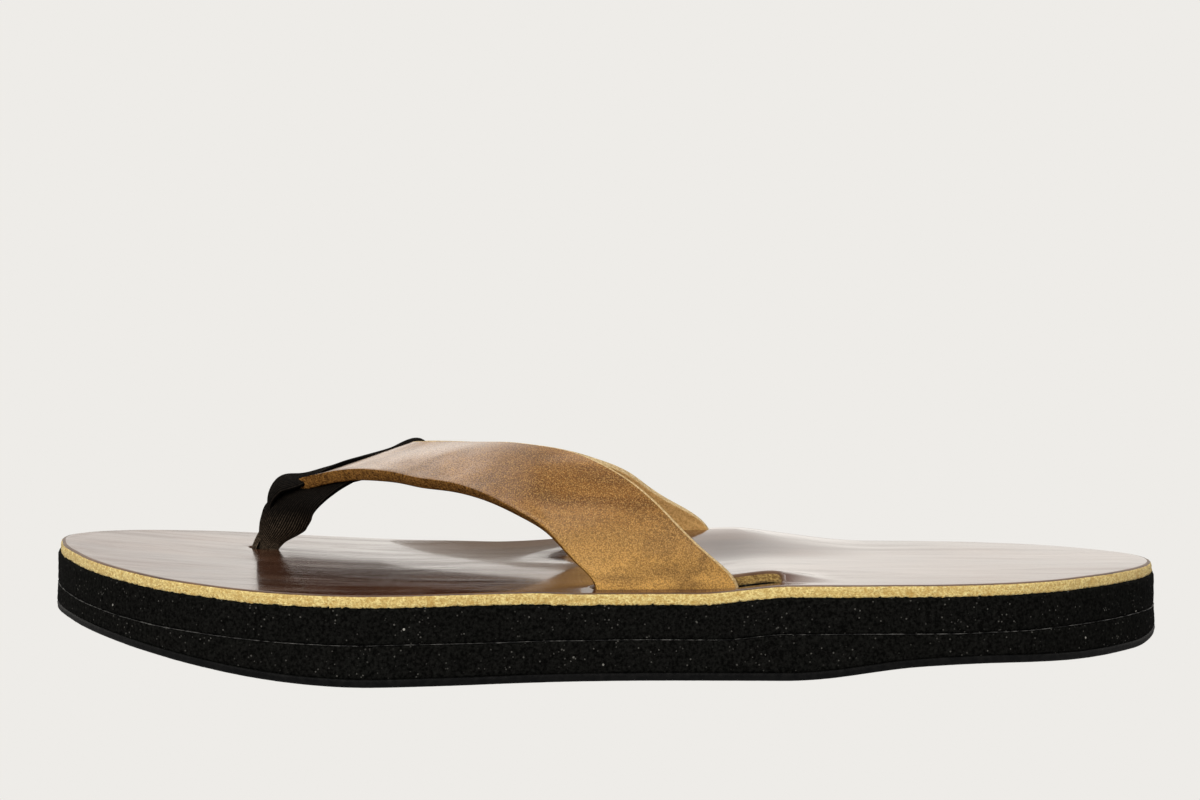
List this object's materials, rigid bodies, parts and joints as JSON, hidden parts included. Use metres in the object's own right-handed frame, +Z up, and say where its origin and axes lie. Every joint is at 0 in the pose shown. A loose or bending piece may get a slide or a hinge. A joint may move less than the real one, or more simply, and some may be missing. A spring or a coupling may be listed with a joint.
{
  "type": "flip flop",
  "caption": "Left-foot leather flip flop: leather V strap set in side slots, webbing toe thong, leather footbed on stacked foam sheets with a thin outsole.",
  "frame": {"origin": "centre of the bounding box, on the surface the sole stands on", "axes": "+X along the sole from toe to heel, +Y from the outer to the inner side, +Z up"},
  "size_m": [0.28, 0.105, 0.0512],
  "materials": {
    "outsole_rubber": "matte black rubber sheet",
    "foam": "matte black EVA foam with fine pale specks",
    "footbed_leather": "glossy dark brown grain, raw golden edge",
    "strap_leather": "waxed golden brown grain, suede back, raw edge",
    "webbing": "ribbed black nylon webbing"
  },
  "bodies": {
    "root": {"outsole": "outsole_rubber", "lower_midsole": "foam", "upper_midsole": "foam", "footbed": "footbed_leather", "strap": "strap_leather", "toe_thong": "webbing"}
  },
  "joints": []
}
